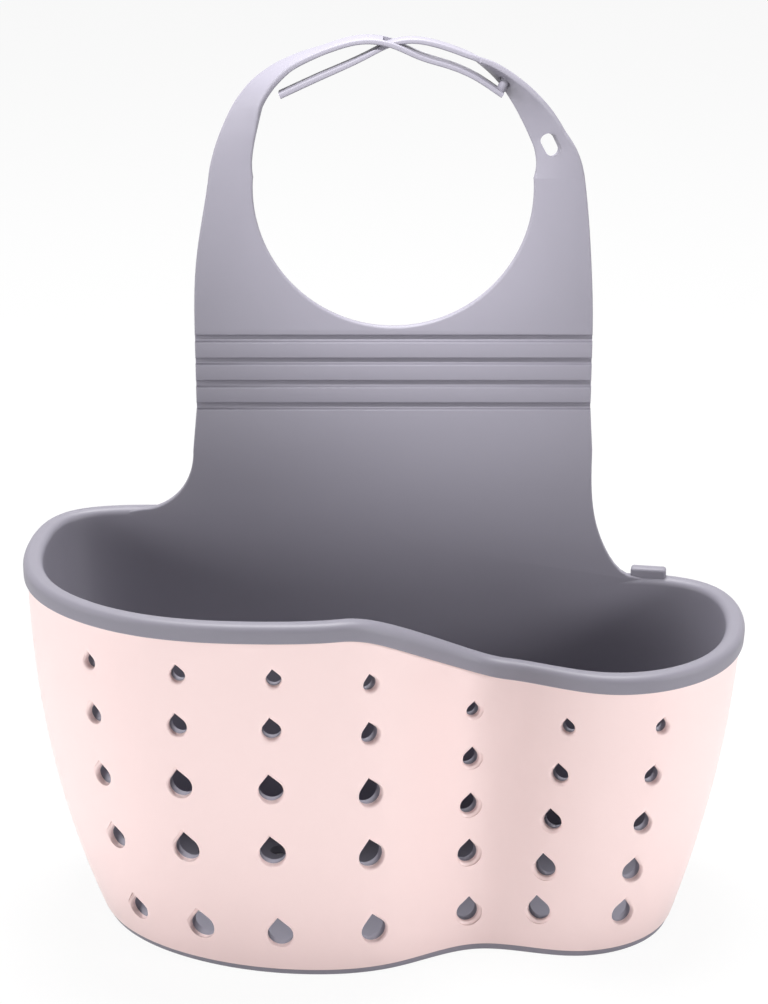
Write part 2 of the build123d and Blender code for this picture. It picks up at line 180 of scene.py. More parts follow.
# Stage, in metres and watts, with its small heights in millimetres: place, size and power of each soft lamp
LAMPS = (
    ("Top_lamp", (0.0, 0.28, 1.05), 0.5, 15.0),
    ("Right_lamp", (0.95, -0.4, 0.38), 0.35, 5.6),
    ("Left_lamp", (-0.95, -0.28, 0.38), 0.35, 3.6),
    ("Front_lamp", (-0.5, -0.9, 0.22), 0.35, 2.3),
)
LAMP_AIM = (0, 0, 0.11)
LOOP_LAMP_PLACE, LOOP_LAMP_AIM = (-0.22, -0.5, 0.8), (0.0, 0.04, 0.205)
LOOP_LAMP_POWER, LOOP_LAMP_ANGLE, LOOP_LAMP_SIZE = 56.0, 11, 0.03
PAPER_HALF, SHADE_HALF = (6.0, 6.0), (0.058, 0.024)
PAPER_DROP, SHADE_DROP = 0.2, 0.1
PAPER_GLOW, ROOM_LIGHT = 0.93, 0.05
SENSOR_WIDTH, CAMERA_X, CLIP_END = 36, -1.0, 50


def linear(code):
    """Linear colour of an sRGB hex value."""
    values = [int(code[i:i + 2], 16) / 255 for i in (1, 3, 5)]
    return tuple(v / 12.92 if v <= 0.04045 else ((v + 0.055) / 1.055) ** 2.4 for v in values)


class ShellSettings(bpy.types.PropertyGroup):
    """Hard outer shell"""
    colour: FloatVectorProperty(name="Colour", description="Colour of the polypropylene", subtype="COLOR",
                                size=3, min=0, max=1, default=linear("#F3DAD8"))
    roughness: FloatProperty(name="Roughness", description="Satin of the moulded surface", default=0.36,
                             min=0, max=1, subtype="FACTOR")
    lip: FloatProperty(name="Hole Lip", description="Rounded edge round each drain hole", default=0.00075,
                       min=0.0001, max=0.001, unit="LENGTH")
    around: IntProperty(name="Around", description="Faces along the bowed wall", default=300, min=60, max=800)


class RubberSettings(bpy.types.PropertyGroup):
    """Soft tub, panel and straps"""
    colour: FloatVectorProperty(name="Colour", description="Colour of the rubber", subtype="COLOR",
                                size=3, min=0, max=1, default=linear("#86838E"))
    roughness: FloatProperty(name="Roughness", description="Matte of the rubber", default=0.52,
                             min=0, max=1, subtype="FACTOR")
    edge: FloatProperty(name="Edge Round", description="Radius of the panel's edges", default=0.00066,
                        min=0.0001, max=0.001, unit="LENGTH")
    bead: FloatProperty(name="Bead Round", description="Radius of the rim bead's upper edges", default=0.0019,
                        min=0.0005, max=0.0024, unit="LENGTH")


class StageSettings(bpy.types.PropertyGroup):
    """Floor, lamps and camera"""
    lens: FloatProperty(name="Lens", description="Focal length on a 36 mm sensor, in millimetres",
                        default=87.4, min=20, max=300)
    distance: FloatProperty(name="Distance", description="Camera to the panel, along Y", default=0.62,
                            min=0.2, max=3, unit="LENGTH")
    height: FloatProperty(name="Height", description="Camera above the foot", default=0.3223,
                          min=0, max=3, unit="LENGTH")
    pitch: FloatProperty(name="Pitch", description="Camera's downward tilt", default=math.radians(19.7825),
                         min=0, max=1.5, subtype="ANGLE")


# Curves of the tub

def clamped_spline(points, start, end):
    """Chord lengths and slopes of the smooth curve through the points, given its first and last slope."""
    points = np.array(points, dtype=float)
    steps = np.linalg.norm(np.diff(points, axis=0), axis=1)
    knots = np.concatenate(([0.0], np.cumsum(steps)))
    last = len(points) - 1
    matrix = np.zeros((last + 1, last + 1))
    right = np.zeros_like(points)
    matrix[0, 0] = matrix[last, last] = 1.0
    right[0], right[last] = start, end
    for i in range(1, last):
        before, after = steps[i - 1], steps[i]
        matrix[i, i - 1:i + 2] = 1 / before, 2 * (1 / before + 1 / after), 1 / after
        right[i] = 3 * ((points[i] - points[i - 1]) / before ** 2 + (points[i + 1] - points[i]) / after ** 2)
    return points, knots, np.linalg.solve(matrix, right)


def spline_at(curve, shares):
    """Points and headings of the curve at shares of its chord length."""
    points, knots, slopes = curve
    places = np.clip(np.asarray(shares, dtype=float) * knots[-1], 0, knots[-1])
    spans = np.clip(np.searchsorted(knots, places, side="right") - 1, 0, len(points) - 2)
    width = (knots[spans + 1] - knots[spans])[:, None]
    t = (places - knots[spans])[:, None] / width
    a, b = points[spans], points[spans + 1]
    u, v = slopes[spans] * width, slopes[spans + 1] * width
    spot = ((2 * t**3 - 3 * t**2 + 1) * a + (t**3 - 2 * t**2 + t) * u
            + (3 * t**2 - 2 * t**3) * b + (t**3 - t**2) * v)
    head = (6 * t**2 - 6 * t) * (a - b) + (3 * t**2 - 4 * t + 1) * u + (3 * t**2 - 2 * t) * v
    return spot, head / np.linalg.norm(head, axis=1)[:, None]


def outline_curve(z, inset):
    """Bowed part of the tub's outline at a height, moved inwards by the inset."""
    blend = 1 - max(1 - z / HIGH_RIM, 0) ** BULGE_POWER
    corners = []
    for (rim_x, rim_y), (base_x, base_y) in zip(RIM_SHARES, BASE_SHARES):
        low = np.array((base_x * BASE_WIDTH, BACK_Y - base_y * BASE_DEPTH))
        high = np.array((rim_x * RIM_WIDTH, BACK_Y - rim_y * RIM_DEPTH))
        corners.append(low + (high - low) * blend)
    curve = clamped_spline(corners, (-1, 0), (-1, 0))
    if inset:
        points, knots, slopes = curve
        heads = slopes / np.linalg.norm(slopes, axis=1)[:, None]
        inwards = np.stack((-heads[:, 1], heads[:, 0]), axis=1)
        curve = clamped_spline(points + inwards * inset, (-1, 0), (-1, 0))
    return curve


def wall_table(inset, around, levels=WALL_LEVELS):
    """Places of the tub's closed outline for every height, as a table of level by place along it."""
    rows = []
    for z in np.linspace(0, HIGH_RIM * LEVEL_TOP, levels):
        bow, _ = spline_at(outline_curve(z, inset), np.linspace(0, 1, around))
        straight = np.linspace(bow[-1], bow[0], WALL_BACK_PLACES)[1:-1]
        rows.append(np.concatenate((bow, straight)))
    return np.array(rows)


def table_at(table, heights):
    """Outline places at one height for each place along it."""
    rows = np.clip(heights / (HIGH_RIM * LEVEL_TOP), 0, 1) * (len(table) - 1)
    low = np.minimum(rows.astype(int), len(table) - 2)
    part = (rows - low)[:, None]
    along = np.arange(table.shape[1])
    return table[low, along] * (1 - part) + table[low + 1, along] * part


def rim_height(x):
    """Height of the rim line at X, with its step from the high to the low side."""
    t = np.linspace(0, 1, STEP_POINTS)
    ease = 3 * t**2 - 2 * t**3
    chord = math.hypot(STEP_RIGHT - STEP_LEFT, HIGH_RIM - LOW_RIM)
    across = STEP_LEFT + (STEP_RIGHT - STEP_LEFT) * ease + chord * (2 * t**3 - 3 * t**2 + t)
    return np.interp(x, across, HIGH_RIM + (LOW_RIM - HIGH_RIM) * ease)


def rim_ring(table, drop):
    """Ring that follows the rim line at a drop below it. X and height settle together in a few rounds."""
    heights = np.full(table.shape[1], HIGH_RIM)
    for _ in range(SETTLE_ROUNDS):
        heights = rim_height(table_at(table, heights)[:, 0]) - drop
    return np.column_stack((table_at(table, heights), heights))


def wall_rings(table, bottom, drop, count):
    """Rings up a wall from a level bottom to the rim line."""
    top = rim_ring(table, drop)[:, 2]
    rings = []
    for share in np.linspace(0, 1, count):
        heights = bottom + (top - bottom) * share
        rings.append(np.column_stack((table_at(table, heights), heights)))
    return rings


# Meshes

def ring_mesh(bm, rings, closed=False, caps=False):
    """Skins rings of points by extruding the first one from place to place."""
    place = bm.verts.layers.int.get("place") or bm.verts.layers.int.new("place")
    verts = []
    for number, point in enumerate(rings[0]):
        vert = bm.verts.new(Vector(point) * MM)
        vert[place] = number
        verts.append(vert)
    first = [bm.edges.new((a, b)) for a, b in zip(verts, verts[1:] + verts[:1])]
    edges = first
    for ring in rings[1:]:
        made = bmesh.ops.extrude_edge_only(bm, edges=edges)["geom"]
        fresh = {g for g in made if isinstance(g, bmesh.types.BMVert)}
        edges = [g for g in made if isinstance(g, bmesh.types.BMEdge) and set(g.verts) <= fresh]
        for vert in fresh:
            vert.co = Vector(ring[vert[place]]) * MM
    if closed:
        bmesh.ops.bridge_loops(bm, edges=first + edges)
    if caps:
        for loop in (first, edges):
            bmesh.ops.contextual_create(bm, geom=loop)


def plate_mesh(bm, outline, front, back):
    """Flat plate from an outline in X and Z between two depths."""
    verts = [bm.verts.new((x * MM, front * MM, z * MM)) for x, z in outline]
    face = bm.faces.new(verts)
    made = bmesh.ops.extrude_face_region(bm, geom=[face])["geom"]
    moved = [g for g in made if isinstance(g, bmesh.types.BMVert)]
    bmesh.ops.translate(bm, verts=moved, vec=(0, (back - front) * MM, 0))


def round_edges(bm, edges, offset):
    """Rounds edges with a bevel."""
    bmesh.ops.bevel(bm, geom=edges, offset=offset, offset_type="OFFSET", segments=ROUND_SEGMENTS, profile=0.5,
                    affect="EDGES", clamp_overlap=True, material=-1)


def lies_flat(edge):
    """Whether an edge keeps its depth, as those on a plate's front and back do."""
    a, b = edge.verts
    return abs(a.co.y - b.co.y) < NEAR * MM


def least(edge, axis):
    """Lower place of an edge's two ends along an axis."""
    return min(vert.co[axis] for vert in edge.verts)


def most(edge, axis):
    """Higher place of an edge's two ends along an axis."""
    return max(vert.co[axis] for vert in edge.verts)


def round_bar(bm, radius, length, place):
    """Round bar along its place's own Z, about its middle."""
    bmesh.ops.create_cone(bm, cap_ends=True, segments=ROUND_SIDES, radius1=radius * MM, radius2=radius * MM,
                          depth=length * MM, matrix=place)


def bar_place(base, direction, length):
    """Place of a round bar that runs from its base in a direction."""
    turn = direction.to_track_quat("Z", "Y").to_matrix().to_4x4()
    return Matrix.Translation((base + direction * length / 2) * MM) @ turn


def slope_heading(slope):
    """Direction in X and Z at a slope in degrees."""
    return Vector((math.cos(math.radians(slope)), 0, math.sin(math.radians(slope))))


def finished(name, bm, material=None):
    """Object of a finished mesh, smooth but for its sharp edges. A cutter has no material."""
    bmesh.ops.remove_doubles(bm, verts=bm.verts, dist=WELD * MM)
    bmesh.ops.recalc_face_normals(bm, faces=bm.faces)
    for face in bm.faces:
        face.smooth = True
    mesh = bpy.data.meshes.new(name)
    bm.to_mesh(mesh)
    bm.free()
    mesh.set_sharp_from_angle(angle=math.radians(SHARP_ANGLE))
    thing = bpy.data.objects.new(name, mesh)
    bpy.context.scene.collection.objects.link(thing)
    if material:
        mesh.materials.append(material)
    return thing


def cut(thing, cutter):
    """Takes the cutter out of the thing, and removes it."""
    made = thing.modifiers.new("Cut", "BOOLEAN")
    made.operation = "DIFFERENCE"
    made.solver = "EXACT"
    made.object = cutter
    whole = thing.evaluated_get(bpy.context.evaluated_depsgraph_get())
    mesh = bpy.data.meshes.new_from_object(whole)
    thing.modifiers.clear()
    old, thing.data = thing.data, mesh
    mesh.name = old.name
    bpy.data.meshes.remove(old)
    bpy.data.objects.remove(cutter)
    if len(mesh.polygons) == 0:
        raise RuntimeError(f"cutting {thing.name} left nothing")
    mesh.set_sharp_from_angle(angle=math.radians(SHARP_ANGLE))


def drop_points(radius, grow):
    """Outline of a drain hole, a drop with a round foot and a pointed tip, let out by the growth."""
    tip = radius * DROP_TIP
    turn = math.acos(radius / tip)
    points = []
    for angle in np.linspace(math.pi / 2 - turn, -3 * math.pi / 2 + turn, DROP_POINTS):
        points.append((radius * math.cos(angle), radius * math.sin(angle)))
    points.append((0.0, tip))
    scale = (radius + grow) / radius
    return [(x * scale, y * scale) for x, y in points]


def drop_cutter(name, profile):
    """Cutter for all the drain holes. The profile is pairs of depth along the wall's normal and growth."""
    bm = bmesh.new()
    for radii, lean, top, foot, heights in DROP_COLUMNS:
        for row, (radius, height) in enumerate(zip(radii, heights)):
            share = top + (foot - top) * row / (len(radii) - 1)
            z = height * HIGH_RIM
            spot, heading = spline_at(outline_curve(z, 0), [share])
            side = Vector((heading[0][0], heading[0][1], 0))
            out = Vector((side.y, -side.x, 0))
            turned = Matrix.Rotation(math.radians(lean), 3, out)
            right, up = turned @ side, turned @ Vector((0, 0, 1))
            middle = Vector((spot[0][0], spot[0][1], z))
            rings = []
            for depth, grow in profile:
                ring = [middle + right * x + up * y + out * depth for x, y in drop_points(radius, grow)]
                rings.append(ring)
            ring_mesh(bm, rings, caps=True)
    return finished(name, bm)


# Materials

def add_node(tree, kind, links=(), **settings):
    """Adds a node with its settings and input links."""
    node = tree.nodes.new(kind)
    for key, value in settings.items():
        if key in node.inputs:
            node.inputs[key].default_value = value
        else:
            setattr(node, key, value)
    for name, source in links:
        tree.links.new(source, node.inputs[name])
    return node


def moulded(name, colour, roughness, grain_mm, grain_depth):
    """Moulded plastic or rubber with the fine grain of its mould."""
    material = bpy.data.materials.new(name)
    material.use_nodes = True
    tree = material.node_tree
    tree.nodes.clear()
    where = add_node(tree, "ShaderNodeTexCoord")
    grain = add_node(tree, "ShaderNodeTexNoise", [("Vector", where.outputs["Object"])],
                     Scale=1 / (grain_mm * MM), Detail=3.0, Roughness=0.6)
    bump = add_node(tree, "ShaderNodeBump", [("Height", grain.outputs["Fac"])],
                    Strength=0.35, Distance=grain_depth * MM)
    shader = add_node(tree, "ShaderNodeBsdfPrincipled", [("Normal", bump.outputs["Normal"])],
                      Roughness=roughness, IOR=1.49)
    shader.inputs["Base Color"].default_value = (*colour, 1)
    add_node(tree, "ShaderNodeOutputMaterial", [("Surface", shader.outputs["BSDF"])])
    material.diffuse_color = (*colour, 1)
    return material


def shell_material():
    """Injection moulded polypropylene, satin: broad soft highlights down the bowed wall."""
    name = "Polypropylene_satin_pale_pink"
    settings = bpy.context.scene.caddy_shell
    return bpy.data.materials.get(name) or moulded(name, settings.colour, settings.roughness,
                                                   grain_mm=0.6, grain_depth=0.004)


def rubber_material():
    """Moulded thermoplastic rubber: matte, with a faint sheen at grazing angles."""
    name = "Thermoplastic_rubber_matte_grey"
    settings = bpy.context.scene.caddy_rubber
    return bpy.data.materials.get(name) or moulded(name, settings.colour, settings.roughness,
                                                   grain_mm=0.8, grain_depth=0.003)


# Straps

def station_measures(stations, places, share):
    """Width, thickness and twist of a strap between its two nearest stations."""
    table = np.array([s[2:] for s in stations])
    return [float(np.interp(share, places, table[:, k])) for k in range(3)]


def band_curve(stations):
    """Middle line of a strap in X and Z."""
    points = [s[:2] for s in stations]
    end = np.subtract(points[-1], points[-2])
    return clamped_spline(points, (0, 1), end / np.linalg.norm(end))


def section_points(width, thickness):
    """Rounded rectangle of a strap's section."""
    radius = thickness * BAND_CORNER
    points = []
    for side_x, side_y, begin in ((1, 1, 0), (-1, 1, 90), (-1, -1, 180), (1, -1, 270)):
        for step in range(BAND_CORNER_STEPS + 1):
            angle = math.radians(begin + 90 / BAND_CORNER_STEPS * step)
            x = side_x * (width / 2 - radius) + radius * math.cos(angle)
            y = side_y * (thickness / 2 - radius) + radius * math.sin(angle)
            points.append((x, y))
    return points


def band_mesh(stations, shoulder=None):
    """Strap skinned along its middle line, turning from facing the front to lying edge on."""
    curve = band_curve(stations)
    places = curve[1] / curve[1][-1]
    shares = list(np.linspace(0, 1, BAND_RINGS))
    step_at = None
    if shoulder is not None:
        spots, _ = spline_at(curve, np.linspace(0, 1, SHOULDER_SAMPLES))
        step_at = float(np.argmax(spots[:, 0] < shoulder)) / (SHOULDER_SAMPLES - 1)
        shares = sorted(shares + [step_at - SHOULDER_SHARE, step_at + SHOULDER_SHARE])
    spots, heads = spline_at(curve, shares)
    rings = []
    for share, spot, head in zip(shares, spots, heads):
        width, thickness, twist = station_measures(stations, places, share)
        if step_at is not None and share > step_at:
            width = TONGUE_WIDTH
        along = Vector((head[0], 0, head[1]))
        across = along.cross(Vector((0, 1, 0)))
        turn = math.radians(twist)
        wide = across * math.cos(turn) + Vector((0, 1, 0)) * math.sin(turn)
        thick = along.cross(wide)
        middle = Vector((spot[0], PANEL_MIDDLE, spot[1]))
        rings.append([middle + wide * x + thick * y for x, y in section_points(width, thickness)])
    bm = bmesh.new()
    ring_mesh(bm, rings, caps=True)
    bmesh.ops.recalc_face_normals(bm, faces=bm.faces)
    return bm


def clip(bm, x, z, slope, keep_after):
    """Keeps the part of a strap on one side of a plane square to it, and closes it."""
    geom = bm.verts[:] + bm.edges[:] + bm.faces[:]
    made = bmesh.ops.bisect_plane(bm, geom=geom, plane_co=Vector((x, PANEL_MIDDLE, z)) * MM,
                                  plane_no=slope_heading(slope), clear_inner=keep_after,
                                  clear_outer=not keep_after)
    edges = [g for g in made["geom_cut"] if isinstance(g, bmesh.types.BMEdge)]
    bmesh.ops.contextual_create(bm, geom=edges)


def strap_pieces(label, stations, bend, shoulder=None):
    """Strap, bend and tail, cut from one band."""
    x, z, slope = bend
    half = BEND_LENGTH / 2
    dx, dz = half * math.cos(math.radians(slope)), half * math.sin(math.radians(slope))
    whole = band_mesh(stations, shoulder=shoulder)
    strap, middle, tail = whole.copy(), whole.copy(), whole.copy()
    whole.free()
    clip(strap, x - dx, z - dz, slope, False)
    clip(middle, x - dx, z - dz, slope, True)
    clip(middle, x + dx, z + dz, slope, False)
    clip(tail, x + dx, z + dz, slope, True)
    rubber = rubber_material()
    return (finished(f"{label}_strap_rubber", strap, rubber),
            finished(f"{label}_bend_rubber", middle, rubber),
            finished(f"{label}_tail_rubber", tail, rubber))


def replace_on(piece, body, slot, *nodes):
    """Puts a piece on its body and lets it stand for its nodes. Its slot is not used."""
    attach(piece, body)
    if nodes:
        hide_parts(*nodes)


# Operators

class CADDY_OT_shell(bpy.types.Operator):
    """Hard outer shell with its drain holes"""
    bl_idname = "caddy.shell"
    bl_label = "Outer Shell"

    def execute(self, context):
        settings = context.scene.caddy_shell
        lip = settings.lip / MM
        outer = wall_table(0.0, settings.around)
        inner = wall_table(SHELL_WALL, settings.around)
        drop = BEAD_HEIGHT - SHELL_INTO_BEAD
        bm = bmesh.new()
        rings = wall_rings(outer, FOOT_HEIGHT, drop, SHELL_OUTER_RINGS)
        rings += wall_rings(inner, FOOT_HEIGHT, drop, SHELL_INNER_RINGS)[::-1]
        ring_mesh(bm, rings, closed=True)
        shell = finished("Outer_shell", bm, shell_material())
        profile = [(DROP_CUT_IN, 0.0)] + [(lip * deep, lip * wide) for deep, wide in LIP_SHARES]
        profile += [(LIP_MOUTH, lip * LIP_MOUTH_SHARE), (DROP_CUT_OUT, lip * LIP_OUT_SHARE)]
        cut(shell, drop_cutter("Drain_cutter", [(depth, DROP_GROW_SHELL + grow) for depth, grow in profile]))
        replace_on(shell, "tub", "shell_pink", "outer_shell")
        return {"FINISHED"}


def bead_profile(radius):
    """Inset and drop of the rolled rim's section, from under its outer lip over the top to its inner edge.

    Its last point is left out, because the inner wall begins there.
    """
    corners = (
        (-BEAD_OVERHANG, BEAD_HEIGHT, BEAD_LIP, 1, -1, 90),
        (-BEAD_OVERHANG, 0.0, radius, 1, 1, 180),
        (LINER_IN, 0.0, radius, -1, 1, 270),
    )
    points = []
    for inset, drop, by, towards_in, towards_down, begin in corners:
        for step in range(BEAD_STEPS + 1):
            angle = math.radians(begin + 90 / BEAD_STEPS * step)
            points.append((inset + towards_in * by + by * math.cos(angle),
                           drop + towards_down * by + by * math.sin(angle)))
    return points[:-1]


class CADDY_OT_tub(bpy.types.Operator):
    """Rubber tub in one moulding: wall, rolled rim, floor with its drains, and foot"""
    bl_idname = "caddy.tub"
    bl_label = "Rubber Tub"

    def execute(self, context):
        rubber = rubber_material()
        around = context.scene.caddy_shell.around
        outer, inner = wall_table(LINER_OUT, around), wall_table(LINER_IN, around)
        radius = context.scene.caddy_rubber.bead / MM
        rings = wall_rings(outer, WALL_FOOT_Z, BEAD_HEIGHT, TUB_OUTER_RINGS)
        for inset, drop in bead_profile(radius):
            rings.append(rim_ring(wall_table(inset, around, BEAD_LEVELS), drop))
        rings += wall_rings(inner, WALL_FOOT_Z, radius, TUB_INNER_RINGS)[::-1]
        bm = bmesh.new()
        ring_mesh(bm, rings, closed=True)
        wall = finished("Tub_wall_and_rim", bm, rubber)
        profile = ((DROP_CUT_IN, DROP_GROW_LINER), (DROP_CUT_OUT, DROP_GROW_LINER))
        cut(wall, drop_cutter("Drain_cutter", profile))
        replace_on(wall, "tub", "rubber_grey", "tub_liner")

        foot = wall_table(FOOT_INSET, around)
        rings = []
        for table, z in ((foot, 0.0), (foot, FOOT_HEIGHT), (outer, FOOT_HEIGHT), (outer, FLOOR_THICKNESS)):
            heights = np.full(table.shape[1], z)
            rings.append(np.column_stack((table_at(table, heights), heights)))
        bm = bmesh.new()
        ring_mesh(bm, rings, caps=True)
        floor = finished("Tub_floor_and_foot", bm, rubber)
        bm = bmesh.new()
        for x, y in DRAINS:
            round_bar(bm, DRAIN_RADIUS, DRAIN_CUT, Matrix.Translation((x * MM, y * MM, 0)))
        cut(floor, finished("Floor_cutter", bm))
        replace_on(floor, "tub", "rubber_grey")
        return {"FINISHED"}


class CADDY_OT_block(bpy.types.Operator):
    """Small block on the back of the rim"""
    bl_idname = "caddy.block"
    bl_label = "Rim Block"

    def execute(self, context):
        middle = (LINER_IN - BEAD_OVERHANG) / 2
        spot, heading = spline_at(outline_curve(LOW_RIM, middle), [TAB_SHARE])
        along = Vector((heading[0][0], heading[0][1], 0))
        turned = Matrix((along, Vector((0, 0, 1)).cross(along), (0, 0, 1))).transposed()
        sunk = context.scene.caddy_rubber.bead / MM
        bm = bmesh.new()
        bmesh.ops.create_cube(bm, size=1.0)
        bmesh.ops.scale(bm, verts=bm.verts, vec=Vector((TAB_WIDTH, TAB_DEPTH, TAB_HEIGHT + sunk)) * MM)
        tops = [e for e in bm.edges if max(v.co.z for v in e.verts) > 0]
        round_edges(bm, tops, TAB_ROUND * MM)
        bmesh.ops.rotate(bm, verts=bm.verts, cent=(0, 0, 0), matrix=turned)
        place = Vector((spot[0][0], spot[0][1], LOW_RIM + (TAB_HEIGHT - sunk) / 2)) * MM
        bmesh.ops.translate(bm, verts=bm.verts, vec=place)
        block = finished("Rim_block", bm, rubber_material())
        replace_on(block, "tub", "rubber_grey", "rim_tab")
        return {"FINISHED"}


def flare_points(low, high, shares, side):
    """Points of the curve by which the panel runs out into the rim, begun inside the rim's round."""
    (x0, z0), (x1, z1) = low, high
    middle = (x0 + (x1 - x0) * (1 - shares[0]), z0 + (z1 - z0) * shares[1])
    curve = clamped_spline([low, middle, high], (side, 0), (0, 1))
    spots, _ = spline_at(curve, np.linspace(0, 1, FLARE_POINTS))
    inside = [(x0 - side * run, z0 - sink) for run, sink in zip(FLARE_RUN, FLARE_SINK)]
    return inside + [tuple(p) for p in spots]


class CADDY_OT_panel(bpy.types.Operator):
    """Back panel under the grooves, the strips between them and the thin rubber behind them"""
    bl_idname = "caddy.panel"
    bl_label = "Back Panel"

    def execute(self, context):
        self.lower_part(context.scene.caddy_rubber.edge)
        for number in range(GROOVES - 1):
            self.strip(number)
        for number in range(GROOVES):
            self.web(number)
        return {"FINISHED"}

    def lower_part(self, edge):
        """Panel from the rim to the first groove. Its back edge stays sharp there, where rubber goes on."""
        top = FIRST_GROOVE_Z - GROOVE_WIDTH / 2
        left = flare_points((FLARE_LEFT, HIGH_RIM), (PANEL_LEFT_LOW, PANEL_BEND_Z), FLARE_LEFT_SHARES, 1)
        right = flare_points((FLARE_RIGHT, LOW_RIM), (PANEL_RIGHT_LOW, PANEL_BEND_Z), FLARE_RIGHT_SHARES, -1)
        across = np.linspace(FLARE_RIGHT + FLARE_RUN[0], FLARE_LEFT - FLARE_RUN[0], BOTTOM_POINTS)
        bottom = [(x, float(rim_height(x)) - PANEL_SINK) for x in across]
        outline = left + [(PANEL_LEFT, top), (PANEL_RIGHT, top)] + right[::-1] + bottom
        bm = bmesh.new()
        plate_mesh(bm, outline, PANEL_FRONT - PANEL_PROUD, PANEL_BACK)
        limit = (LOW_RIM - PANEL_ROUND_FROM) * MM
        chosen = []
        for e in bm.edges:
            below = all(v.co.z < (float(rim_height(v.co.x / MM)) - PANEL_ROUND_SINK) * MM for v in e.verts)
            seam = least(e, Y) > (PANEL_BACK - NEAR) * MM and least(e, Z) > (top - NEAR) * MM
            if lies_flat(e) and not below and not seam and least(e, Z) > limit:
                chosen.append(e)
        round_edges(bm, chosen, edge * PANEL_ROUND_SHARE)
        lower = finished("Lower_back_panel", bm, rubber_material())
        replace_on(lower, "tub", "rubber_grey")

    def strip(self, number):
        """Strip between two grooves."""
        low = FIRST_GROOVE_Z + GROOVE_WIDTH / 2 + number * GROOVE_PITCH
        high = low + GROOVE_PITCH - GROOVE_WIDTH
        bm = bmesh.new()
        box = [(PANEL_LEFT, low), (PANEL_LEFT, high), (PANEL_RIGHT, high), (PANEL_RIGHT, low)]
        plate_mesh(bm, box, PANEL_FRONT, PANEL_BACK)
        fronts = [e for e in bm.edges if all(v.co.y < (PANEL_FRONT + NEAR) * MM for v in e.verts)]
        ends = [e for e in bm.edges if e not in fronts and lies_flat(e)
                and abs(e.verts[0].co.x - e.verts[1].co.x) < NEAR * MM]
        round_edges(bm, fronts + ends, STRIP_ROUND * MM)
        strip = finished(f"Flex_strip_{number + 1}", bm, rubber_material())
        replace_on(strip, CHAIN[number + 1], "rubber_grey", f"flex_strip_{number + 1}")

    def web(self, number):
        """Thin rubber behind a groove, hollow in front."""
        middle = FIRST_GROOVE_Z + number * GROOVE_PITCH
        half = GROOVE_WIDTH / 2
        front = PANEL_FRONT + GROOVE_DEPTH
        section = []
        for t in np.linspace(-1, 1, WEB_POINTS):
            section.append((front + WEB_HOLLOW - WEB_RISE * abs(t) ** 3, middle + half * t))
        for t in np.linspace(1, -1, WEB_POINTS):
            section.append((PANEL_BACK, middle + half * t))
        rings = [[(x, y, z) for y, z in section] for x in np.linspace(PANEL_LEFT, PANEL_RIGHT, WEB_SLICES)]
        bm = bmesh.new()
        ring_mesh(bm, rings, caps=True)
        web = finished(f"Groove_web_{number + 1}", bm, rubber_material())
        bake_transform(web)
        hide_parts(f"groove_web_{number + 1}")


